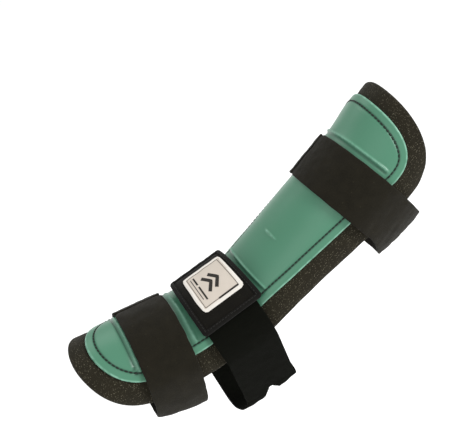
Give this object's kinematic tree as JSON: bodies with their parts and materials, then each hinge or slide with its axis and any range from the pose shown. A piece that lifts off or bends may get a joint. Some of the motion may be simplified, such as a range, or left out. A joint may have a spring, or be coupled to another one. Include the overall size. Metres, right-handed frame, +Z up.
{
  "type": "ankle foot orthosis",
  "caption": "Front-shell ankle foot orthosis: moulded shin and instep shell on a foam liner, with calf, forefoot and heel straps and a bound ankle flap.",
  "frame": {"origin": "the middle of the ankle, inside the leg, behind the middle of the shell's ankle bend", "axes": "+Z up, toes towards -Y, +X to the outer side of a left leg; the shin leans back towards +Y"},
  "size_m": [0.124, 0.3676, 0.3163],
  "materials": {
    "shell_plastic": "vacuum-moulded green thermoplastic with a soft satin sheen",
    "liner_foam": "closed-cell black foam with a fine pale fleck",
    "lining_cloth": "brushed knitted lining cloth bonded to the foam",
    "hook_tape": "hook tape",
    "plush_strap": "black plush loop strap",
    "heel_webbing": "black loop-faced heel strap",
    "flap_fabric": "black padded loop fabric",
    "flap_binding": "black folded edge tape",
    "woven_label": "off-white woven label with a plain ring mark"
  },
  "bodies": {
    "splint": {"shell": "shell_plastic", "foam_liner": "liner_foam", "lining_cloth": "lining_cloth", "calf_hook_patch": "hook_tape", "forefoot_hook_patch": "hook_tape", "calf_strap_anchor": "plush_strap", "forefoot_strap_anchor": "plush_strap", "heel_strap_outer_side": "heel_webbing", "heel_strap_inner_side": "heel_webbing", "heel_strap_sole_branch": "heel_webbing", "heel_strap_back_branch": "heel_webbing"},
    "calf_back": {"calf_strap_back": "plush_strap"},
    "calf_side": {"calf_strap_side": "plush_strap"},
    "calf_tab": {"calf_strap_tab": "plush_strap"},
    "forefoot_sole": {"forefoot_strap_sole": "plush_strap"},
    "forefoot_side": {"forefoot_strap_side": "plush_strap"},
    "forefoot_tab": {"forefoot_strap_tab": "plush_strap"},
    "heel_tab": {"heel_strap_tab": "heel_webbing"},
    "ankle_flap": {"ankle_flap_pad": "flap_fabric", "ankle_flap_binding": "flap_binding", "ankle_flap_hook": "hook_tape", "ankle_flap_label": "woven_label"}
  },
  "joints": [
    {"name": "calf_back_swing", "type": "hinge", "parent": "splint", "child": "calf_back", "pos_m": [-0.06096, 0.13856, 0.09435], "axis": [-0.0072, 0.7322, 0.681], "range_deg": [0, 33]},
    {"name": "calf_side_swing", "type": "hinge", "parent": "calf_back", "child": "calf_side", "pos_m": [0.04852, 0.1592, 0.07407], "axis": [0.0056, 0.7444, 0.6678], "range_deg": [0, 44]},
    {"name": "calf_strap_peel", "type": "hinge", "parent": "calf_side", "child": "calf_tab", "pos_m": [0.05808, 0.11335, 0.11912], "axis": [0.0067, 0.7169, 0.6971], "range_deg": [0, 110]},
    {"name": "forefoot_sole_swing", "type": "hinge", "parent": "splint", "child": "forefoot_sole", "pos_m": [-0.05766, -0.08865, -0.03782], "axis": [-0.0584, 0.9982, 0.0119], "range_deg": [0, 33]},
    {"name": "forefoot_side_swing", "type": "hinge", "parent": "forefoot_sole", "child": "forefoot_side", "pos_m": [0.04832, -0.08608, -0.05679], "axis": [0.0475, 0.9986, -0.0232], "range_deg": [0, 44]},
    {"name": "forefoot_strap_peel", "type": "hinge", "parent": "forefoot_side", "child": "forefoot_tab", "pos_m": [0.05486, -0.09296, -0.00591], "axis": [0.0543, 0.9959, 0.0728], "range_deg": [0, 110]},
    {"name": "heel_strap_open", "type": "hinge", "parent": "splint", "child": "heel_tab", "pos_m": [0.0601, -0.01426, -0.00149], "axis": [0, 0.9232, 0.3843], "range_deg": [0, 72]},
    {"name": "ankle_flap_lift", "type": "hinge", "parent": "splint", "child": "ankle_flap", "pos_m": [-0.03243, -0.03267, 0.04285], "axis": [0, -0.9092, -0.4163], "range_deg": [0, 120]}
  ],
  "couplings": [
    {"joint": "calf_back_swing", "follows": "calf_strap_peel", "ratio": 0.3},
    {"joint": "calf_side_swing", "follows": "calf_strap_peel", "ratio": 0.4},
    {"joint": "forefoot_sole_swing", "follows": "forefoot_strap_peel", "ratio": 0.3},
    {"joint": "forefoot_side_swing", "follows": "forefoot_strap_peel", "ratio": 0.4},
    {"joint": "heel_strap_open", "follows": "ankle_flap_lift", "ratio": 0.6}
  ]
}
